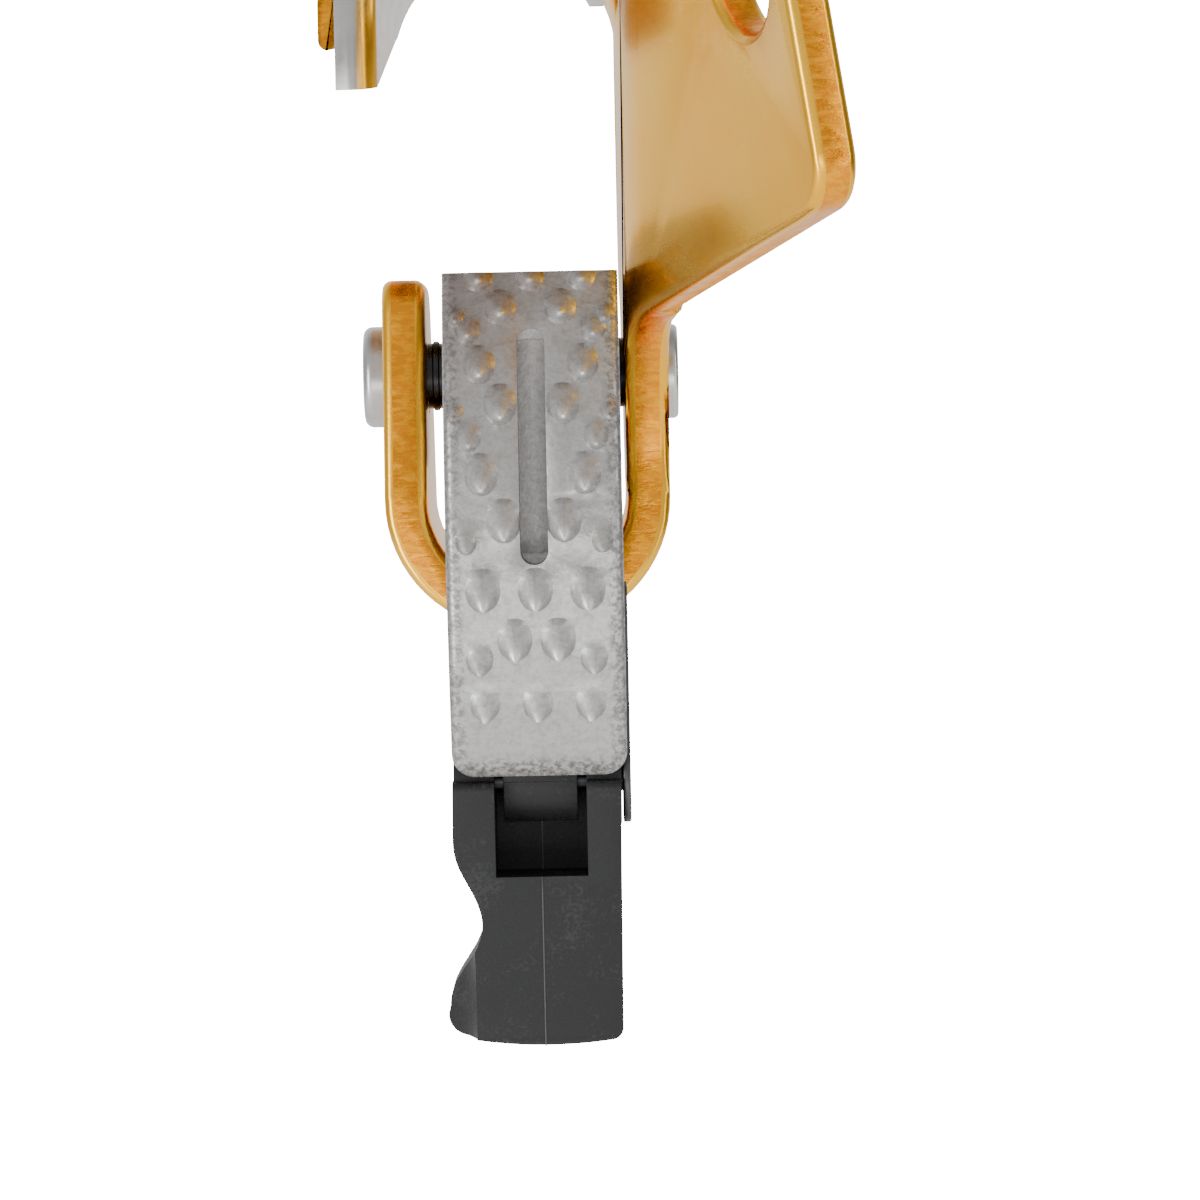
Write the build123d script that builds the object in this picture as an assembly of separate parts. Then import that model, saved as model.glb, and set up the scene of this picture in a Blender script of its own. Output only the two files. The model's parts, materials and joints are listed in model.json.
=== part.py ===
"""Toothed-cam rope clamp (chest ascender): folded plate frame, steel cam and plastic catch.

+X is the back (body) side, +Y is up along the rope in use, +Z points at the rope channel's U wall.
Shapes are drawn about the cam axle and moved at export, so the origin lies on the rope channel's axis.
Lengths are in millimetres and angles in degrees."""

import os
from math import cos, exp, hypot, radians, sin, tan

from build123d import *

# plate frame
plate = 3.2  # sheet thickness
back_in = 6.85  # inner face of the back plate
front_in = -8.1  # inner face of the front flange at the cam
fold_bottom = -19.2  # outside of the U fold under the cam
fold_radius = 9.8  # outside radius of the fold's corners
fold_low = -10.5  # the fold's end towards the catch
fold_high = 16.0
flange_top = 7.2  # free edge of the front flange
join_z = -9.0  # where the fold meets the flat plates

# rope channel
rope_z = 26.8  # rope channel's axis above the axle
rope_x = -2.5
channel_radius = 9.35  # inside of the plate
channel_low = -19.2
channel_high = 35.0
wall_root = 15.0  # the front wall is drawn from here and cut to its slanting edge
wall_short = 2.8  # the plate stops this far short of the liner's edge
liner_thick = 1.05
lip_thick = 1.1  # turned-out lower end of the liner
lip_radius = 11.3
lip_deep = 2.6  # depth of the rounded mouth
liner_back_angle = 28.0  # the liner stops this far before the back plate

# lower lug, bent out of the back plate along a slanted line
bend_point = (-18.2, 13.0)
bend_slope = 24.2  # slant of the bend line from the rope channel's cross direction
bend_angle = 23.9
bend_inner = 14.0
lower_hole = (-48.2, 26.2)
lower_hole_radius = 4.6
upper_hole = (46.5, 21.0)
upper_hole_radius = 7.0

# axle
axle_radius = 2.15
sleeve_radius = 2.65
head_radius = 3.85
head_high = 1.7
tail_head_radius = 3.6
tail_head_high = 0.9
fit = 0.05  # radial clearance of a running fit

# cam
cam_half = 6.35
cam_start = 72.6  # angles round the axle, from +Z towards -Y
cam_end = 140.0
cam_radius = 24.0  # the face's radius at 73 degrees
grip_angle = 20.0
cam_low = -29.3
hub_radius = 7.0
cam_edge = 0.7
cam_corner = 1.7  # corners of the tail seen from the face
slot_half = 1.0
slot_top = 3.0
slot_low = -13.9
slot_floor = -23.6
tooth_radius = 1.05
tooth_high = 1.25
tooth_root = 1.0  # depth of the tooth's foot below the face
tooth_tip = 0.12
tooth_lean = 28.0  # the teeth lean towards the tail
# each row: angle on the face, half spacings, tooth size
tooth_rows = [
    (74.5, (0, 3.7), 0.95),
    (80.5, (2.15,), 1.05),
    (81.5, (5.35,), 0.6),
    (84, (4.5,), 0.85),
    (90, (3.7,), 1.05),
    (96, (2.25,), 1.1),
    (96.5, (5.5,), 0.6),
    (100, (4.55,), 0.85),
    (105.5, (3.7,), 1.1),
    (111.5, (2.15,), 1.15),
    (113.5, (4.85,), 0.7),
    (120, (0, 3.75), 1.15),
    (126, (1.55,), 1.15),
    (128, (4.1,), 0.9),
    (133.5, (0, 3.8), 1.0),
]

# catch, on a pin in the cam's tail
pin_y = -18.2
pin_z = -29.8
pin_radius = 1.0
block_half = 2.7
block_radius = 3.1
window_half = 3.35
cheek_half = 2.85  # the cheeks close in on the block behind the window
cheek_front = -21.3
catch_right = 5.9
catch_front = -22.7
catch_back = -12.6
arm_in = 6.0
arm_out = 6.6
arm_top = -15.5

to_origin = Pos(-rope_x, 0, -rope_z)


def side_face(*points, radii=None):
    """A face in the Y-Z plane with rounded corners."""
    if radii is None:
        outline = Polyline(*points, close=True)
    else:
        outline = FilletPolyline(*points, radius=radii, close=True)
    return make_face(outline)


def across(face, low_x, high_x):
    """A Y-Z face made solid between two values of X."""
    return extrude(Plane.YZ.offset(low_x) * face, high_x - low_x)


def along(face, low_y, high_y):
    """An X-Z face made solid between two values of Y."""
    return extrude(Plane.XZ.offset(-high_y) * face, high_y - low_y)


def rod(radius, low_x, high_x, y=0.0, z=0.0):
    """A round bar parallel to X."""
    return Pos((low_x + high_x) / 2, y, z) * Rot(0, 90, 0) * Cylinder(radius, high_x - low_x)


def rope_rod(radius, low_y, high_y):
    """A round bar on the rope channel's axis."""
    middle = (low_y + high_y) / 2
    return Pos(rope_x, middle, rope_z) * Rot(90, 0, 0) * Cylinder(radius, high_y - low_y)


def slab(low, high):
    size = [b - a for a, b in zip(low, high)]
    centre = [(a + b) / 2 for a, b in zip(low, high)]
    return Pos(*centre) * Box(*size)


def face_radius(angle):
    """Logarithmic spiral: the rope meets every part of the face at the same grip angle."""
    return cam_radius * exp(radians(angle - 73) * tan(radians(grip_angle)))


def face_point(angle, extra=0.0):
    r = face_radius(angle) + extra
    return -r * sin(radians(angle)), r * cos(radians(angle))


def back_panel():
    """The flat back plate and, past the slanted bend, the lower lug."""
    outline = side_face(
        (fold_low, join_z), (fold_low, 2.4), (-55.2, 9.4), (-55.9, 34), (-26, 34), (channel_low, rope_z),
        (channel_high + 1, rope_z), (channel_high + 5, 34), (59.5, 34), (59.5, 8), (40, 5.5),
        (fold_high + 3, join_z),
        radii=[0, 12, 4.2, 8, 5, 0, 0, 3, 10, 10, 14, 0],
    )
    slant = radians(bend_slope)
    line = Vector(0, -sin(slant), cos(slant))
    away = Vector(0, -cos(slant), -sin(slant))
    start = Vector(0, *bend_point)
    bend_length = radians(bend_angle) * (bend_inner + plate / 2)

    def beyond(distance):
        spans = ((-60, distance), (60, distance), (60, 90), (-60, 90))
        corners = [start + line * a + away * b for a, b in spans]
        return across(side_face(*[(c.Y, c.Z) for c in corners]), back_in - 1, back_in + plate + 1)

    sheet = across(outline, back_in, back_in + plate)
    sheet -= rod(upper_hole_radius, 0, 20, *upper_hole)
    flat = sheet - beyond(0)
    strip = slab((back_in, -80, -40), (back_in + plate, 80, 80)) & beyond(0)
    lug = sheet & beyond(bend_length)
    lug -= rod(lower_hole_radius, 0, 20, *lower_hole)
    bend_axis = Axis((back_in + plate + bend_inner, *bend_point), (0, line.Y, line.Z))
    root = sorted(strip.faces(), key=lambda f: abs(f.normal_at().dot(away) + 1))[0]
    bend = revolve(root, bend_axis, bend_angle) & across(outline, 0, 30)
    return flat + bend + lug.translate(away * -bend_length).rotate(bend_axis, bend_angle)


def fold():
    """The U fold that carries the front flange under the cam."""
    left, right = front_in - plate, back_in + plate
    inner_bottom = fold_bottom + plate
    inner_radius = fold_radius - plate
    profile = make_face(FilletPolyline(
        (left, join_z), (left, fold_bottom), (right, fold_bottom), (right, join_z),
        (back_in, join_z), (back_in, inner_bottom), (front_in, inner_bottom), (front_in, join_z),
        radius=[0, fold_radius, fold_radius, 0, 0, inner_radius, inner_radius, 0], close=True,
    ))
    return along(profile, fold_low, fold_high)


def front_flange():
    outline = side_face(
        (fold_low, join_z), (-7.5, flange_top), (8.5, flange_top), (fold_high, join_z),
        radii=[0, 3, 6, 0],
    )
    return across(outline, front_in - plate, front_in)


def front_cut(lift):
    """Everything beyond the channel's slanting free edge on the front side."""
    edge = [(-30, 19.1), (28, 28.1), (38, 36)]
    points = [(y, z + lift) for y, z in edge] + [(60, 36 + lift), (60, 0), (-30, 0)]
    outline = side_face(*points, radii=[0, 12, 0, 0, 0, 0])
    return across(outline, -30, rope_x)


def trough(radius, low_y, high_y):
    """A round bar on the rope axis with a straight side towards the front flange."""
    return rope_rod(radius, low_y, high_y) + slab((rope_x - radius, low_y, wall_root), (rope_x, high_y, rope_z))


def channel():
    """The channel's U wall: half a tube that runs on into a short front flange."""
    outer = channel_radius + plate
    wall = trough(outer, channel_low, channel_high) - trough(channel_radius, channel_low - 1, channel_high + 1)
    wall -= slab((rope_x, channel_low - 1, 0), (rope_x + outer + 1, channel_high + 1, rope_z))
    return wall - front_cut(wall_short)


def liner_rivet(y):
    """Flush inside the channel, with a domed head outside."""
    wall_in = rope_z + channel_radius - liner_thick
    wall_out = rope_z + channel_radius + plate
    shank = Pos(rope_x, y, (wall_in + wall_out) / 2 + 0.1) * Cylinder(1.5, wall_out - wall_in)
    sink = Pos(rope_x, y, wall_in + 0.55) * Cone(2.5, 1.5, 1.0)
    head = Pos(rope_x, y, wall_out + 0.35) * Cylinder(2.7, 1.3)
    head = fillet(head.edges().group_by(Axis.Z)[-1], 0.6)
    return shank + sink + head


def liner():
    """Stainless lining of the channel; its lower end turns out over the plate's edge as a round mouth."""
    inner = channel_radius - liner_thick
    mouth = channel_low - lip_thick
    shell = trough(channel_radius, channel_low, channel_high + 0.6)
    shell += trough(lip_radius, mouth, mouth + lip_deep)
    shell -= trough(inner, mouth - 1, channel_high + 5)
    end = radians(liner_back_angle)
    shell -= slab((rope_x, mouth - 1, 0), (rope_x + 30, channel_high + 5, rope_z + inner * sin(end)))
    shell -= front_cut(0)

    def on_rim(edge):
        point = edge @ 0.5
        across_wall = rope_x - point.X if point.Z < rope_z else hypot(point.X - rope_x, point.Z - rope_z)
        return abs(across_wall - inner) < 0.05

    return fillet([e for e in shell.edges().group_by(Axis.Y)[0] if on_rim(e)], lip_deep - 0.4)


def axle():
    """Rivet through both flanges and the sleeve."""
    left, right = front_in - plate, back_in + plate
    shank = rod(axle_radius, left, right)
    head = rod(head_radius, left - head_high, left)
    head = fillet(head.edges().group_by(Axis.X)[0], 0.7)
    tail = rod(tail_head_radius, right, right + tail_head_high)
    tail = fillet(tail.edges().group_by(Axis.X)[-1], 0.4)
    return shank + head + tail


def sleeve():
    """Hard tube that spaces the flanges and carries the cam."""
    return rod(sleeve_radius, front_in, back_in) - rod(axle_radius + 0.02, front_in - 1, back_in + 1)


def coil(radius, wire, pitch, turns, start_x, y, z):
    """A round-wire coil about an axis parallel to X."""
    path = Helix(pitch=pitch, height=pitch * turns, radius=radius)
    section = Plane(origin=path @ 0, z_dir=path % 0) * Circle(wire / 2)
    return Pos(start_x, y, z) * Rot(0, 90, 0) * sweep(section, path, is_frenet=True)


def tooth(angle, x, size):
    """A blunt cone that leans from the face towards the tail."""
    y, z = face_point(angle, -tooth_root)
    lean = radians(angle - grip_angle + tooth_lean)
    direction = (0, -sin(lean), cos(lean))
    base = Plane(origin=(x, y, z), z_dir=direction)
    rise = tooth_high * size / tooth_radius
    foot = size * (rise + tooth_root) / rise
    return base * Pos(0, 0, (rise + tooth_root) / 2) * Cone(foot, tooth_tip, rise + tooth_root)


def cam():
    """Spiral toothed face, hub and tail; the tail's fork holds the plastic block."""
    steps = 10
    span = cam_end - cam_start
    spiral = Spline(*[face_point(cam_start + span * i / steps) for i in range(steps + 1)])
    end_y, end_z = face_point(cam_end)
    close = [
        (end_y, end_z), (-22.4, cam_low - 0.2), (-14.9, cam_low - 0.2), (-14.9, -15.5), (-12.5, -11.0),
        (-3.5, -6.0), (0, 0), (0, hub_radius), face_point(cam_start),
    ]
    profile = make_face(Curve() + [spiral, Polyline(*close)])
    body = across(profile, -cam_half, cam_half) + rod(hub_radius, -cam_half, cam_half)
    front = make_face(FilletPolyline(
        (-cam_half, 12), (-cam_half, cam_low), (cam_half, cam_low), (cam_half, 12),
        radius=[0, cam_corner, cam_corner, 0], close=True,
    ))
    body &= along(front, -40, 20)
    near_face = [e for e in body.edges() if e.center().Y < -24 and abs(e.center().X) > cam_half - 0.01]
    body = fillet(near_face, cam_edge)
    block = slab((-cam_half + 0.12, -45, -45), (cam_half - 0.12, 20, 7.15))
    for angle, offsets, size in tooth_rows:
        for x in sorted({side * x for x in offsets for side in (1, -1)}):
            body += tooth(angle, x, size) & block
    body -= slot()
    body -= rod(sleeve_radius + fit, -10, 10)
    body -= rod(4.8, 2.4, 10)
    return body - tail_space() - arm_space()


def slot():
    """Self-cleaning slot down the middle of the face."""
    middle = (slot_top + slot_low) / 2
    outline = Pos(0, middle) * Rot(0, 0, 90) * SlotOverall(slot_top - slot_low, 2 * slot_half)
    return along(outline, -40, slot_floor)


def tail_space():
    """Room in the cam's tail for the catch's cheeks and the block's tenon."""
    cheeks = rod(3.8, -10, 10, pin_y, pin_z)
    cheeks += slab((-10, pin_y, -40), (10, 0, -27.2))
    cheeks -= slab((-block_half, -40, -60), (block_half, 0, 0))
    tenon = slab((-block_half, -21.6, -40), (block_half, 0, -22.5))
    return cheeks + tenon


def arm_space():
    outline = side_face((-23.4, -14.4), (-14.0, -14.4), (-14.0, -40), (-22.2, -40), (-22.2, -26),
                        radii=[2, 0, 0, 0, 0])
    return across(outline, arm_in - 0.2, 10)


def tail_block():
    """Moulded block in the cam's fork; the catch turns on its pin."""
    body = slab((-block_half, -21.6, pin_z), (block_half, -14.9, -22.5))
    body -= slab((-5, -15.2, -40), (5, 0, -27.2))
    body += rod(block_radius, -block_half, block_half, pin_y, pin_z)
    body -= rod(pin_radius + fit, -5, 5, pin_y, pin_z)
    return body - rod(2.3, -2.0, 2.0, pin_y, pin_z)


def catch_outline():
    """Front view of the catch: waist and finger lip on the left, straight on the right."""
    left = [
        Line((-6.3, -25), (-6.45, -34)),
        Spline((-6.45, -34), (-5.3, -37.5), (-4.45, -40.3), (-5.5, -43), (-7.0, -46.6),
               tangents=[(0, -1), (0, -1)]),
        ThreePointArc((-7.0, -46.6), (-6.9, -48.0), (-5.8, -48.6)),
        ThreePointArc((-5.8, -48.6), (-0.5, -49.2), (4.8, -48.9)),
        ThreePointArc((4.8, -48.9), (5.45, -48.6), (5.7, -47.9)),
        Line((5.7, -47.9), (catch_right, -25)),
        Line((catch_right, -25), (-6.3, -25)),
    ]
    return make_face(Curve() + left)


def catch():
    """Plastic finger catch with cheeks round the block and a window at the front."""
    body = along(catch_outline(), -30, 0)
    side = side_face(
        (catch_front, -29.7), (-21.4, -38), (-19.8, -49.6), (-12.0, -49.6), (-11.2, -44),
        (catch_back, -36), (catch_back, -29.7),
        radii=[0.6, 8, 1.5, 2.5, 4, 6, 1.5],
    )
    body &= across(side, -10, 10)
    body += rod(3.4, -6.3, catch_right, pin_y, pin_z)
    body -= slab((-window_half, -40, -36.7), (window_half, -14.6, -20))
    body -= slab((-window_half, -40, -29.7), (window_half, cheek_front, -20))
    body -= slab((-cheek_half, cheek_front, -29.7), (cheek_half, 0, -20))
    scoop = Pos(-9.6, -21.0, -43.8) * Rot(12, 0, 0) * Cylinder(4.6, 12)
    return body - scoop - rod(pin_radius, -10, 10, pin_y, pin_z)


def catch_arm():
    """Steel arm on the catch's pin, beside the cam's tail."""
    strip = side_face((-20.0, arm_top), (-15.6, arm_top), (-15.4, pin_z), (-21.0, pin_z),
                      radii=[1.2, 1.2, 0, 0])
    body = across(strip, arm_in, arm_out) + rod(3.3, arm_in, arm_out, pin_y, pin_z)
    return body - rod(pin_radius, 0, 10, pin_y, pin_z)


def build():
    rivets = {"liner_rivet_low": liner_rivet(-9.0), "liner_rivet_high": liner_rivet(25.0)}
    rivet = axle()
    body = back_panel() + fold() + front_flange() + channel()
    body -= rod(axle_radius + 0.02, -20, 20)
    lining = liner()
    for piece in rivets.values():
        body -= piece
        lining -= piece
    body -= lining
    parts = {
        "frame": body,
        "wear_liner": lining,
        **rivets,
        "axle_rivet": rivet,
        "axle_sleeve": sleeve(),
        "cam": cam(),
        "cam_return_spring": coil(3.7, 0.9, 1.0, 2.6, 3.0, 0, 0),
        "tail_block": tail_block(),
        "catch_body": catch(),
        "catch_pin": rod(pin_radius - 0.01, -6.2, arm_out, pin_y, pin_z),
        "catch_arm": catch_arm(),
        "catch_spring": coil(1.65, 0.55, 0.65, 4.5, -1.5, pin_y, pin_z),
    }
    os.makedirs("parts", exist_ok=True)
    for name, shape in parts.items():
        export_step(to_origin * shape, f"parts/{name}.step")
        print(name, round(shape.volume, 1))


build()
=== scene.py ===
import json
from math import cos, pi, radians, sin, tan

import bmesh
import bpy
from mathutils import Matrix, Vector


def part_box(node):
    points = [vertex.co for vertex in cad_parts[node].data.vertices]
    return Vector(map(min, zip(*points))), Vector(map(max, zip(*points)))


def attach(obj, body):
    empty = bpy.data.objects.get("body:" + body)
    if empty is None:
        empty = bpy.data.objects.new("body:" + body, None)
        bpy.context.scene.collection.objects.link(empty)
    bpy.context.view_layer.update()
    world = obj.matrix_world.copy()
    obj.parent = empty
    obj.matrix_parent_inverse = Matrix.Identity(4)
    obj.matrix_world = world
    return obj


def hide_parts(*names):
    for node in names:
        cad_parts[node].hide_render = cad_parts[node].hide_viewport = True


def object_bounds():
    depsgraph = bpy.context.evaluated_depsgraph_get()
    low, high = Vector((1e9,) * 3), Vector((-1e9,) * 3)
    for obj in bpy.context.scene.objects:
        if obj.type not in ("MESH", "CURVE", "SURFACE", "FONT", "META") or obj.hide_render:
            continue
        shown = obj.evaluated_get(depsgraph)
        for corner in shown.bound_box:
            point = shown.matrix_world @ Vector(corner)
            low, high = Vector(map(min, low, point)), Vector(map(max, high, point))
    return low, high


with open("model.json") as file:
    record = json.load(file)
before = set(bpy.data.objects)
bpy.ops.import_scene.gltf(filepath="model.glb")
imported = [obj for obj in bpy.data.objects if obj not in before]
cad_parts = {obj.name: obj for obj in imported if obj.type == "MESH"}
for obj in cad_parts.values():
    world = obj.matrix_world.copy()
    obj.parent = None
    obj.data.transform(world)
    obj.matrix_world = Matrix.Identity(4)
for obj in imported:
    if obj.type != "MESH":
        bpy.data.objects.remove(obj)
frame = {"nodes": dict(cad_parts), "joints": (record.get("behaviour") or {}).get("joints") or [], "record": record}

cadLow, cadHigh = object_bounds()
nodes = frame["nodes"]
joints = {joint["name"]: joint for joint in frame["joints"]}
mounts = {mount["name"]: mount for mount in frame["record"]["mounts"]}
axle = Vector(joints["cam_pivot"]["pos_m"])
lugNormal = Vector(mounts["lower_attachment_hole"]["axis"])
mm = 0.001
weldGap = 2e-6


class Wire:
    # one socket, so that shader maths reads as plain expressions
    def __init__(self, tree, socket):
        self.tree, self.socket = tree, socket

    def maths(self, operation, *others, clamp=False):
        values = dict(enumerate((self,) + others))
        return self.tree.add("ShaderNodeMath", {"operation": operation, "use_clamp": clamp}, values)[0]

    def __add__(self, other): return self.maths("ADD", other)
    def __radd__(self, other): return self.maths("ADD", other)
    def __sub__(self, other): return self.maths("SUBTRACT", other)
    def __rsub__(self, other): return self.tree.value(other).maths("SUBTRACT", self)
    def __mul__(self, other): return self.maths("MULTIPLY", other)
    def __rmul__(self, other): return self.maths("MULTIPLY", other)
    def __pow__(self, other): return self.maths("POWER", other)

    def clamp(self): return self.maths("ADD", 0.0, clamp=True)
    def abs(self): return self.maths("ABSOLUTE")

    def band(self, low, high):
        # 0 below low, 1 above high, smooth between
        settings = {"interpolation_type": "SMOOTHSTEP"}
        return self.tree.add("ShaderNodeMapRange", settings,
                             {"Value": self, "From Min": low, "From Max": high})["Result"]


class Outputs:
    def __init__(self, tree, node):
        self.tree, self.node = tree, node

    def __getitem__(self, key):
        return Wire(self.tree, self.node.outputs[key])


class Tree:
    def __init__(self, nodeTree):
        self.nodes, self.links = nodeTree.nodes, nodeTree.links

    def feed(self, node, sockets):
        for key, value in sockets.items():
            socket = node.inputs[key]
            if isinstance(value, Wire):
                self.links.new(value.socket, socket)
            elif isinstance(value, tuple) and socket.type == "RGBA":
                socket.default_value = (*value, 1.0) if len(value) == 3 else value
            else:
                socket.default_value = value

    def add(self, kind, settings=None, sockets=None):
        node = self.nodes.new(kind)
        for key, value in (settings or {}).items():
            setattr(node, key, value)
        self.feed(node, sockets or {})
        return Outputs(self, node)

    def value(self, number):
        return self.add("ShaderNodeMath", {"operation": "ADD"}, {0: float(number), 1: 0.0})[0]

    def split(self, vector):
        made = self.add("ShaderNodeSeparateXYZ", None, {"Vector": vector})
        return made["X"], made["Y"], made["Z"]

    def mix(self, mask, first, second):
        made = self.add("ShaderNodeMix", {"data_type": "RGBA"}, {0: mask, 6: first, 7: second})
        return Wire(self, made.node.outputs[2])


class Finish(Tree):
    # one material; its patterns lie on Object coordinates measured from the axle
    def __init__(self, name, **settings):
        self.material = bpy.data.materials.new(name)
        self.material.use_nodes = True
        super().__init__(self.material.node_tree)
        self.shader = self.nodes["Principled BSDF"]
        self.feed(self.shader, settings)
        spot = self.add("ShaderNodeTexCoord")["Object"]
        self.place = self.add("ShaderNodeVectorMath", {"operation": "SUBTRACT"}, {0: spot, 1: tuple(axle)})[0]

    def stretched(self, x, y, z):
        return self.add("ShaderNodeMapping", None, {"Vector": self.place, "Scale": (x, y, z)})["Vector"]

    def noise(self, scale, detail=4.0, vector=None, roughness=0.55):
        return self.add("ShaderNodeTexNoise", None, {
            "Vector": vector or self.place, "Scale": scale, "Detail": detail, "Roughness": roughness})["Fac"]

    def bump(self, height, distance, strength=1.0):
        made = self.add("ShaderNodeBump", None, {
            "Height": height, "Distance": distance, "Strength": strength})
        self.feed(self.shader, {"Normal": made["Normal"]})

    def set(self, **sockets):
        names = {"baseColor": "Base Color", "roughness": "Roughness"}
        self.feed(self.shader, {names[key]: value for key, value in sockets.items()})


stageLook = {
    "lens": 159.6,
    "cameraFromAxle": (4.1, -407.0, -4.37),  # mm
    "aim": (7.03, 5320.0, -170.2),
    "roll": 1.2,
    "floorDrop": 300.0,
    "floorRadius": 1.1,
    "floorColour": (0.92, 0.92, 0.92),
    "backgroundWhite": 20.0,
    "roomLight": 0.2,  # light from all round
    "behindLight": 0.95,
    "belowLight": 0.25,
    "aboveLight": 0.25,
    "leftLight": 0.4,
    "frontLight": 0.55,
    "floorGlow": 0.5,
    "floorTint": (0.95, 0.95, 0.95),
    "lampAim": (3, 0, -4),  # mm from the axle
    # each lamp's name, place, width and height in metres, and watts
    "lamps": (
        ("keyLeft", (-0.50, -0.50, -0.12), (0.16, 0.5), 2.6),
        ("softRight", (0.60, -0.35, 0.05), (0.06, 0.7), 0.9),
        ("frontBox", (0.05, -0.75, -0.30), (0.5, 0.2), 0.9),
    ),
}


def makeCamera(look):
    data = bpy.data.cameras.new("camera")
    data.lens, data.sensor_width = look["lens"], 36.0
    data.clip_start, data.clip_end = 0.01, 50.0
    camera = bpy.data.objects.new("camera", data)
    bpy.context.scene.collection.objects.link(camera)
    forward = Vector(look["aim"]).normalized()
    roll = radians(look["roll"])
    right = forward.cross(Vector((sin(roll), 0, cos(roll)))).normalized()
    turn = Matrix((right, right.cross(forward), -forward)).transposed().to_4x4()
    camera.matrix_world = Matrix.Translation(axle + Vector(look["cameraFromAxle"]) * mm) @ turn
    bpy.context.scene.camera = camera
    print("camera placed")


def makeLight(name, place, target, size, power):
    data = bpy.data.lights.new(name, "AREA")
    data.shape = "RECTANGLE"
    data.size, data.size_y = size
    data.energy = power
    lamp = bpy.data.objects.new(name, data)
    bpy.context.scene.collection.objects.link(lamp)
    lamp.location = place
    lamp.rotation_mode = "QUATERNION"
    lamp.rotation_quaternion = (Vector(target) - Vector(place)).to_track_quat("-Z", "Y")


def makeRoom(look):
    # a soft white room, brighter behind and below the object
    world = bpy.data.worlds.new("studio")
    bpy.context.scene.world = world
    world.use_nodes = True
    room = Tree(world.node_tree)
    x, y, z = room.split(room.add("ShaderNodeTexCoord")["Generated"])
    glow = look["roomLight"] + y.band(0.2, 0.95) * look["behindLight"]
    glow = glow + (-1.0 * z).band(0.25, 0.95) * look["belowLight"] + z.band(0.2, 0.9) * look["aboveLight"]
    glow = glow + (-1.0 * x).band(0.3, 0.9) * look["leftLight"]
    glow = glow + (-1.0 * y).band(0.2, 0.95) * look["frontLight"]
    seen = room.add("ShaderNodeLightPath")["Is Camera Ray"]
    room.feed(room.nodes["Background"], {
        "Color": (1.0, 1.0, 1.0),
        "Strength": glow * (1.0 - seen) + seen * look["backgroundWhite"],
    })


def makeStage(look):
    makeRoom(look)
    bm = bmesh.new()
    bmesh.ops.create_circle(bm, cap_ends=True, segments=128, radius=look["floorRadius"])
    bmesh.ops.translate(bm, verts=bm.verts, vec=(0, 0, cadLow.z - look["floorDrop"] * mm))
    floor = meshPiece("floor", bm)
    paint = Finish("floorPaint", **{
        "Roughness": 0.8, "Emission Strength": look["floorGlow"], "Emission Color": (1, 1, 1)})
    paint.set(baseColor=paint.mix(paint.noise(3.0), look["floorColour"], look["floorTint"]))
    floor.data.materials.append(paint.material)
    middle = axle + Vector(look["lampAim"]) * mm
    for name, place, size, power in look["lamps"]:
        makeLight(name, place, middle, size, power)
    print("room, floor and lamps ready")


def meshPiece(name, bm):
    mesh = bpy.data.meshes.new(name)
    bm.to_mesh(mesh)
    bm.free()
    piece = bpy.data.objects.new(name, mesh)
    bpy.context.scene.collection.objects.link(piece)
    return piece


def finishPiece(piece, body, slot, *materials, stands=()):
    for material in materials:
        piece.data.materials.append(material)
    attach(piece, body)
    if stands:
        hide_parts(*stands)


def paintNode(node, material):
    # a CAD part whose shape stays
    slots = nodes[node].material_slots
    if not slots:
        raise RuntimeError(node + " has no material slot")
    for slot in slots:
        slot.link = "OBJECT"
        slot.material = material


def copyOf(node, flat=0.6, mend=None):
    # a clean copy of a CAD part, its flat faces whole again
    bm = bmesh.new()
    bm.from_mesh(nodes[node].data)
    bmesh.ops.remove_doubles(bm, verts=bm.verts, dist=weldGap)
    if mend:
        mend(bm)
    bmesh.ops.dissolve_limit(bm, angle_limit=radians(flat), verts=bm.verts, edges=bm.edges)
    return bm


def roundEdges(piece, width, segments=3, angle=40, material=-1, clamped=True):
    bevel = piece.modifiers.new("edgeRound", "BEVEL")
    bevel.width = width * mm
    bevel.segments = segments
    bevel.limit_method = "ANGLE"
    bevel.angle_limit = radians(angle)
    bevel.harden_normals = True
    bevel.use_clamp_overlap = clamped
    bevel.material = material
    for polygon in piece.data.polygons:
        polygon.use_smooth = True


frameLook = {
    # all lengths in mm, heights and places from the axle
    "edgeRound": 0.7,
    "sharpAngle": 40,
    "roundTop": 34.3,  # no rounding over this height behind the axle, nor over the next in front
    "wallRoundTop": 30.0,
    "mouth": -19.2,  # the channel's end face stays square, since part rounding breaks it
    "mouthFrom": 15.0,
    "channelEnds": (-20.0, 35.4),
    "plate": 3.2,
    "foldTop": -9.0,  # where the fold meets the flat plates
    "foldFrom": -8.0,
    "backIn": 6.85,
    "bendPoint": (-18.2, 13.0),  # the lug's bend, as it is in the CAD
    "bendSlant": 24.2,
    "bendAngle": 23.9,
    "bendInner": 14.0,
    "seamFrom": 10.0,
    "seamGap": 0.45,  # points closer than this along the lug's seam become one
    "gold": (1.0, 0.47, 0.01),
    "goldLight": (1.0, 0.54, 0.03),
    "cutGold": (1.0, 0.40, 0.0),
    "cutDark": (0.75, 0.22, 0.0),
    "roughness": 0.17,
}


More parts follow.
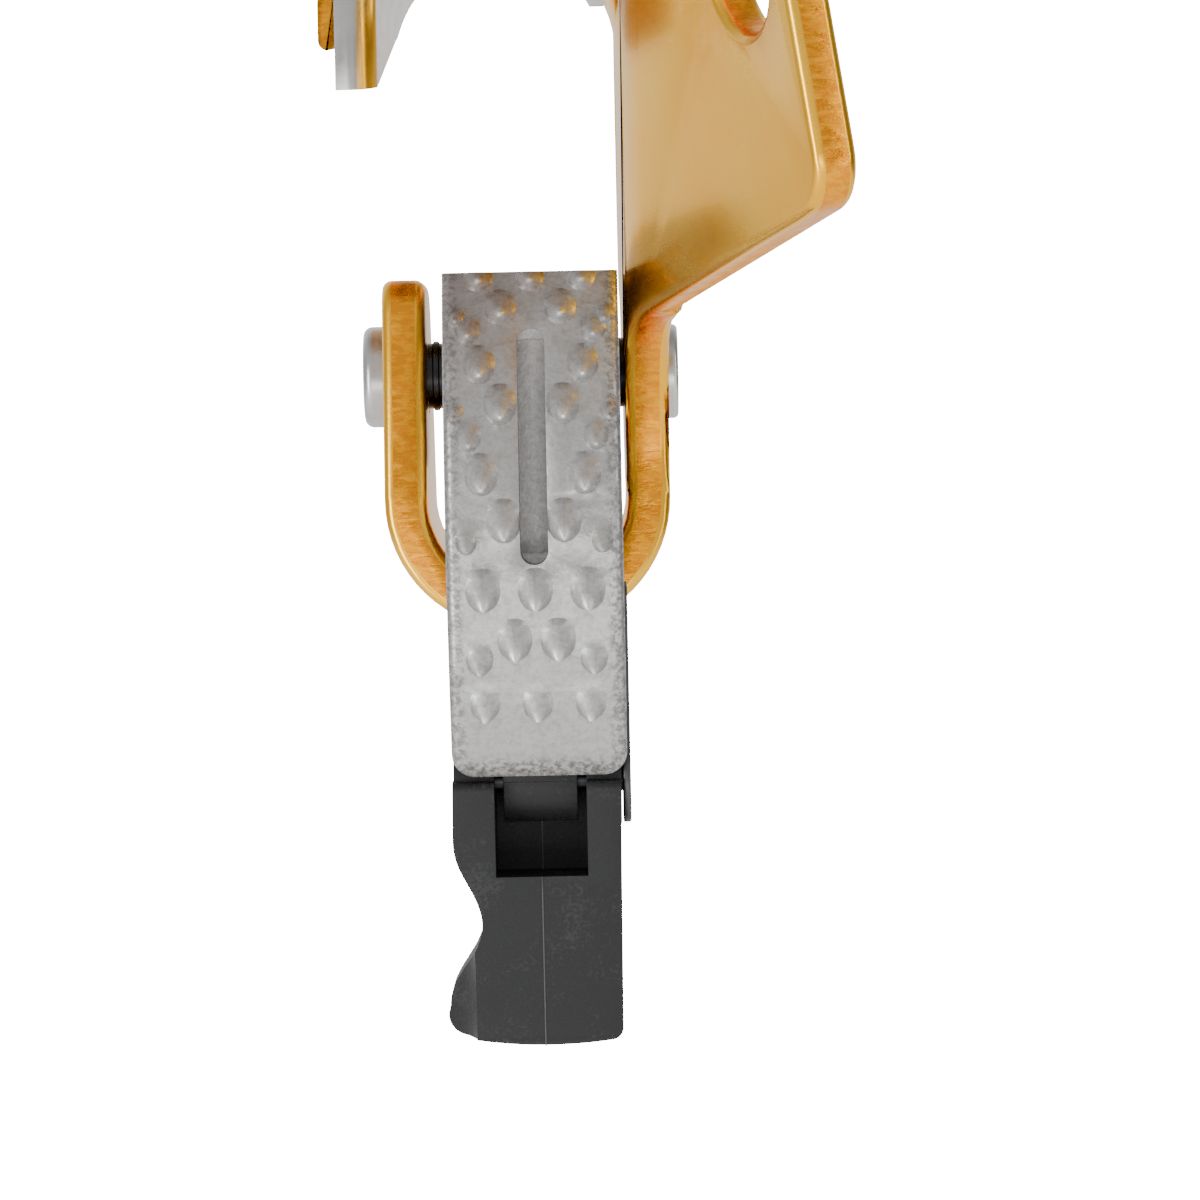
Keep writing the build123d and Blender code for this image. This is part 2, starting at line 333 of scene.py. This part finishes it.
def makeGold(look):
    gold = Finish("goldAnodising", **{"Metallic": 1.0, "Coat Weight": 0.2, "Coat Roughness": 0.06})
    cloud, grain = gold.noise(90.0, 3.0), gold.noise(2600.0, 2.0)
    rolled = gold.noise(220.0, 3.0, gold.stretched(1, 1, 9))  # faint rolling lines of the sheet
    gold.set(
        baseColor=gold.mix(cloud.band(0.3, 0.7), look["gold"], look["goldLight"]),
        roughness=look["roughness"] + cloud * 0.08 + grain * 0.05 + rolled * 0.04,
    )
    gold.bump(gold.noise(500.0, 3.0) * 0.5 + grain * 0.4 + rolled * 0.3, 0.00002, 0.45)
    return gold.material


def makeCutGold(look):
    # sheared edge of the plate: a burnished zone and a torn zone under the same anodising
    cut = Finish("cutEdgeAnodising", **{"Metallic": 1.0, "Coat Weight": 0.15, "Coat Roughness": 0.1})
    torn = cut.noise(900.0, 5.0, cut.stretched(1.0, 0.6, 2.6), 0.65)
    strokes = cut.noise(1500.0, 4.0, cut.stretched(0.35, 1.0, 1.5), 0.6)
    rough = torn.band(0.42, 0.62)
    cut.set(
        baseColor=cut.mix(0.35 + rough * 0.65, look["cutDark"], look["cutGold"]),
        roughness=0.2 + strokes.band(0.35, 0.7) * 0.2 + rough * 0.06,
    )
    cut.bump(torn * 0.8 + strokes * 0.6, 0.00012, 0.5)
    return cut.material


def isCutFace(face):
    # the plate's thin sides, told from its two surfaces by the sheet's direction there
    n, c = face.normal, face.calc_center_median() - axle
    low, high = frameLook["channelEnds"]
    overCrown = c.z > -axle.z + 0.5 * mm and c.y > low * mm and c.y < high * mm
    if c.z < frameLook["foldTop"] * mm or overCrown:
        return abs(n.y) > 0.6
    return max(abs(n.x), abs(n.dot(lugNormal))) < 0.5


def mendBend(bm):
    # closes the small step where the fold meets the bend, and clears close points on the lug's
    # seam; the step at the lug's lower outside corner stays
    look = frameLook
    inner, outer = axle.x + look["backIn"] * mm, axle.x + (look["backIn"] + look["plate"]) * mm
    for v in bm.verts:
        place = (v.co - axle) / mm
        onFold = abs(place.z - look["foldTop"]) < 0.02 and place.y < look["foldFrom"]
        if onFold and place.x > look["backIn"]:
            v.co.x = inner if place.x < look["backIn"] + look["plate"] / 2 else outer
    bend, slant = radians(look["bendAngle"]), radians(look["bendSlant"])
    along = Vector((sin(bend), -cos(slant) * cos(bend), -sin(slant) * cos(bend)))
    centreX = look["backIn"] + look["plate"] + look["bendInner"]
    middle = axle + Vector((centreX, *look["bendPoint"])) * mm
    seam = [v for v in bm.verts if abs((v.co - middle).dot(along)) < 0.05 * mm
            and v.co.y < axle.y - look["seamFrom"] * mm]
    bmesh.ops.remove_doubles(bm, verts=seam, dist=look["seamGap"] * mm)
    bmesh.ops.remove_doubles(bm, verts=bm.verts, dist=0.01 * mm)
    bmesh.ops.dissolve_degenerate(bm, dist=0.005 * mm, edges=bm.edges)


def makeFrame(look):
    bm = copyOf("frame", mend=mendBend)
    bm.normal_update()
    for face in bm.faces:
        face.material_index = 1 if isCutFace(face) else 0
    # rounds only the lower outside edges between a cut side and the sheet; over the channel
    # such a wide rounding throws out needles
    weight = bm.edges.layers.float.new("bevel_weight_edge")
    for edge in bm.edges:
        middle = (edge.verts[0].co + edge.verts[1].co) / 2 - axle
        top = look["roundTop"] if middle.x > 0 else look["wallRoundTop"]
        kinds = {face.material_index for face in edge.link_faces}
        mouth = abs(middle.y - look["mouth"] * mm) < 0.05 * mm and middle.z > look["mouthFrom"] * mm
        if len(kinds) < 2 or mouth or not edge.is_convex or middle.z >= top * mm:
            continue
        if edge.calc_face_angle() > radians(look["sharpAngle"]):
            edge[weight] = 1.0
    piece = meshPiece("framePlate", bm)
    roundEdges(piece, look["edgeRound"], segments=4, material=0, clamped=False)
    piece.modifiers[0].limit_method = "WEIGHT"
    finishPiece(piece, "frame_body", "frame_gold", makeGold(look), makeCutGold(look), stands=("frame",))
    print("frame plate made")


linerLook = {
    "edgeRound": 0.32,
    "steel": (0.56, 0.555, 0.54),
    "steelDark": (0.42, 0.40, 0.38),
    "roughness": 0.13,
}


def makeLiner(look):
    steel = Finish("polishedStainless", **{"Metallic": 1.0})
    cloud = steel.noise(160.0, 3.0)
    drawn = steel.noise(900.0, 3.0, steel.stretched(1.0, 0.08, 1.0))  # rope wear runs along the channel
    steel.set(
        baseColor=steel.mix(cloud.band(0.3, 0.7), look["steelDark"], look["steel"]),
        roughness=look["roughness"] + drawn * 0.14 + cloud * 0.05,
    )
    steel.bump(drawn + cloud * 0.3, 0.000015, 0.5)
    piece = meshPiece("linerSheet", copyOf("wear_liner"))
    roundEdges(piece, look["edgeRound"])
    finishPiece(piece, "frame_body", "stainless", steel.material, stands=("wear_liner",))
    print("channel liner made")


camLook = {
    "edgeRound": 0.16,
    "startAngle": 73.0,  # the face is a log spiral round the axle
    "startRadius": 24.0,
    "gripAngle": 20.0,
    "halfWidth": 6.35,
    "tail": -29.3,
    "steel": (0.52, 0.51, 0.50),
    # warm, darker steel used as a painted reflection of the gold frame
    "steelWarm": (0.40, 0.33, 0.30),
    # dark grain of the cast steel, also used as painted shade along the cam's edges
    "grit": (0.16, 0.155, 0.15),
    "tip": (0.78, 0.77, 0.75),
    "slotFloor": -23.6,
    "slotEnds": (-13.9, 3.0),
    "slotHalf": 1.0,
    "ridge": 0.13,
    "ridgeThick": 0.2,
    "ridgeShort": 1.6,  # how much shorter than the slot
    "ridgeSunk": 0.02,
}


def makeCamFinish(look):
    cast = Finish("castCamSteel", **{"Metallic": 1.0})
    x, y, z = cast.split(cast.place)
    radius = (y * y + z * z) ** 0.5
    angle = (-1.0 * y).maths("ARCTAN2", z)
    spiral = tan(radians(look["gripAngle"]))
    face = look["startRadius"] * mm * ((angle - radians(look["startAngle"])) * spiral).maths("EXPONENT")
    height = (radius - face) * (1 / mm)  # how far a point stands over the face
    cloud = cast.noise(130.0, 4.0)
    grain = cast.noise(2300.0, 4.0, None, 0.7)
    pits = cast.noise(5200.0, 2.0)
    tip = height.band(0.75, 1.2)
    flank = height.band(0.12, 0.4)
    side = (x.abs() * (1 / mm)).band(look["halfWidth"] - 1.35, look["halfWidth"] - 0.75)
    tailBand = (-1.0 / mm * z).band(-look["tail"] - 1.7, -look["tail"] - 0.6)
    # painted shade: darkens the cam's side edges and lower tail edge towards the dark grit colour, broken up by
    # grain; it also roughens them
    grainyEdgeShade = ((side * 0.75).maths("MAXIMUM", tailBand) * grain.band(0.40, 0.62)).clamp()
    # painted reflection: the upper front part of the cam face is tinted warm and darker, like the gold frame
    # shining on it
    goldReflectionMask = (z * (1 / mm)).band(-6.0, 7.0) * (-1.0 / mm * x).band(-3.5, 4.5)
    shade = cast.mix(goldReflectionMask * (0.45 + cloud * 0.55), look["steel"], look["steelWarm"])
    shade = cast.mix(grain.band(0.35, 0.75) * 0.35, shade, look["grit"])
    shade = cast.mix(grainyEdgeShade * 0.8, shade, look["grit"])
    shade = cast.mix(tip, shade, look["tip"])
    cast.set(
        baseColor=shade,
        roughness=(0.31 + grain * 0.16 + grainyEdgeShade * 0.2 + flank * 0.22 - tip * 0.2).clamp(),
    )
    cast.bump(grain * 0.7 + pits * 0.3 + cloud * 0.5, 0.00007, 0.55)
    return cast.material


def makeCam(look):
    steel = makeCamFinish(look)
    piece = meshPiece("camBody", copyOf("cam", 0.4))
    roundEdges(piece, look["edgeRound"], segments=2, angle=32)
    finishPiece(piece, "cam_body", "cam_steel", steel, stands=("cam",))
    low, high = look["slotEnds"]
    bm = bmesh.new()
    bmesh.ops.create_cube(bm, size=1.0)
    span = Vector((look["slotHalf"] * 2.0, look["ridgeThick"], high - low - look["ridgeShort"]))
    bmesh.ops.scale(bm, verts=bm.verts, vec=span * mm)
    front = [edge for edge in bm.edges if abs(edge.verts[0].co.x - edge.verts[1].co.x) > mm
             and edge.calc_length() > mm and edge.verts[0].co.y < 0]
    cut = bmesh.ops.subdivide_edges(bm, edges=front, cuts=1)
    ridge = [v for v in cut["geom_inner"] if isinstance(v, bmesh.types.BMVert)]
    bmesh.ops.translate(bm, verts=ridge, vec=(0, -look["ridge"] * mm, 0))
    spot = axle + Vector((0, look["slotFloor"] - look["ridgeSunk"], (low + high) / 2)) * mm
    bmesh.ops.translate(bm, verts=bm.verts, vec=spot)
    bmesh.ops.recalc_face_normals(bm, faces=bm.faces)
    finishPiece(meshPiece("slotRidge", bm), "cam_body", "cam_steel", steel)
    print("cam made")


axleLook = {
    "sleeveRadius": 2.65,
    "bore": 2.2,
    "sleeveSides": 72,
    "grooveDeep": 0.16,
    # mm from the left end, and whether the tube is grooved there
    "grooveSteps": ((0.0, True), (0.35, True), (0.45, False), (0.8, False),
                    (0.9, True), (1.15, True), (1.25, False)),
    "sleeveSteel": (0.035, 0.035, 0.037),
    "sleeveDark": (0.06, 0.06, 0.065),
    "rivetSteel": (0.62, 0.615, 0.60),
    "rivetDark": (0.5, 0.495, 0.48),
}


def makeTurnedSteel(name, colour, dark, roughness):
    steel = Finish(name, **{"Metallic": 1.0})
    turned = steel.noise(60.0, 3.0, steel.stretched(60, 1, 1))  # tool rings round the axle
    cloud = steel.noise(300.0, 3.0)
    steel.set(
        baseColor=steel.mix(cloud.band(0.35, 0.7), colour, dark),
        roughness=roughness + turned * 0.08 + cloud * 0.1,
    )
    steel.bump(turned * 0.5 + cloud * 0.5, 0.00002, 0.5)
    return steel.material


def makeAxle(look):
    rivet = makeTurnedSteel("platedRivetSteel", look["rivetSteel"], look["rivetDark"], 0.2)
    for node in ("axle_rivet", "liner_rivet_low", "liner_rivet_high"):
        paintNode(node, rivet)
    low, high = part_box("axle_sleeve")
    outer, bore = look["sleeveRadius"] * mm, look["bore"] * mm
    deep = outer - look["grooveDeep"] * mm
    steps = [(low.x + along * mm, deep if grooved else outer) for along, grooved in look["grooveSteps"]]
    line = [(low.x, bore), *steps, (high.x, outer), (high.x, bore)]
    bm = bmesh.new()
    profile = [bm.verts.new((x, axle.y, axle.z + r)) for x, r in line]
    edges = [bm.edges.new((a, b)) for a, b in zip(profile, profile[1:] + profile[:1])]
    bmesh.ops.spin(bm, geom=profile + edges, cent=axle, axis=(1, 0, 0), angle=2 * pi,
                   steps=look["sleeveSides"], use_merge=True)
    bmesh.ops.remove_doubles(bm, verts=bm.verts, dist=1e-6)
    bmesh.ops.recalc_face_normals(bm, faces=bm.faces)
    piece = meshPiece("axleSleeve", bm)
    for polygon in piece.data.polygons:
        polygon.use_smooth = True
    piece.data.set_sharp_from_angle(angle=radians(30))
    dark = makeTurnedSteel("blackenedSleeveSteelAndPinShade", look["sleeveSteel"], look["sleeveDark"], 0.2)
    finishPiece(piece, "frame_body", "sleeve_steel", dark, stands=("axle_sleeve",))
    # painted shade: the catch pin gets the near-black sleeve steel so that the shaded gap round it reads dark; the
    # pin itself is plated rivet steel
    paintNode("catch_pin", dark)
    print("axle, sleeve and rivets made")


springLook = {"wire": (0.30, 0.30, 0.32), "wireDark": (0.2, 0.2, 0.21)}


def makeSprings(look):
    wire = makeTurnedSteel("springWire", look["wire"], look["wireDark"], 0.3)
    for node in ("cam_return_spring", "catch_spring"):
        paintNode(node, wire)
    print("springs painted")


catchLook = {
    "edgeRound": 0.5,
    "plastic": (0.012, 0.012, 0.013),
    "scuffed": (0.028, 0.028, 0.029),
    "roughness": 0.42,
    # lighter colour of the parting bead, a painted highlight
    "flash": (0.075, 0.075, 0.077),
    "partingWidth": 0.11,
    "partingProud": 0.05,
    "arm": (0.11, 0.11, 0.115),
    "armDark": (0.07, 0.07, 0.073),
    "blockRound": 0.2,
    "armRound": 0.14,
}


def makePlastic(look, name="mouldedBlackPlastic"):
    plastic = Finish(name, **{"IOR": 1.49, "Specular IOR Level": 0.35})
    cloud = plastic.noise(200.0, 4.0)
    spark = plastic.noise(3800.0, 3.0)
    scuff = (cloud * spark).band(0.26, 0.42)
    plastic.set(
        baseColor=plastic.mix(scuff, look["plastic"], look["scuffed"]),
        roughness=look["roughness"] + spark * 0.12 + cloud * 0.06,
    )
    plastic.bump(spark * 0.6 + cloud * 0.4, 0.00004, 0.6)
    return plastic.material


def partingBead(node, look):
    # the thin flash that the mould's halves leave down the middle of the front
    bm = copyOf(node)
    half = look["partingWidth"] * mm / 2
    for side in (1, -1):
        geometry = bm.verts[:] + bm.edges[:] + bm.faces[:]
        bmesh.ops.bisect_plane(bm, geom=geometry, dist=1e-7, plane_co=axle + Vector((side * half, 0, 0)),
                               plane_no=(side, 0, 0), clear_outer=True)
    bm.normal_update()
    back = [face for face in bm.faces if face.normal.y > -0.5]
    bmesh.ops.delete(bm, geom=back, context="FACES")
    bmesh.ops.solidify(bm, geom=bm.faces[:], thickness=-look["partingProud"] * mm)
    bmesh.ops.recalc_face_normals(bm, faces=bm.faces)
    return bm


def makeCatch(look):
    plastic = makePlastic(look)
    piece = meshPiece("catchShell", copyOf("catch_body"))
    roundEdges(piece, look["edgeRound"], segments=4, angle=35)
    finishPiece(piece, "catch_unit", "catch_plastic", plastic, stands=("catch_body",))
    bead = meshPiece("catchPartingBead", partingBead("catch_body", look))
    # painted highlight: the real parting bead is coloured lighter than the plastic to stand for the bright line
    # along it
    beadHighlightLook = {**look, "plastic": look["flash"], "scuffed": look["flash"]}
    finishPiece(bead, "catch_unit", "catch_plastic", makePlastic(beadHighlightLook, "mouldFlashPaintedHighlight"))
    block = meshPiece("tailBlock", copyOf("tail_block"))
    roundEdges(block, look["blockRound"], angle=35)
    finishPiece(block, "cam_body", "catch_plastic", plastic, stands=("tail_block",))
    arm = meshPiece("catchArm", copyOf("catch_arm"))
    roundEdges(arm, look["armRound"], segments=2, angle=35)
    grey = makeTurnedSteel("coatedArmSteel", look["arm"], look["armDark"], 0.34)
    finishPiece(arm, "catch_unit", "arm_steel", grey, stands=("catch_arm",))
    print("catch made")


makeCamera(stageLook)
makeStage(stageLook)
makeFrame(frameLook)
makeLiner(linerLook)
makeCam(camLook)
makeAxle(axleLook)
makeSprings(springLook)
makeCatch(catchLook)
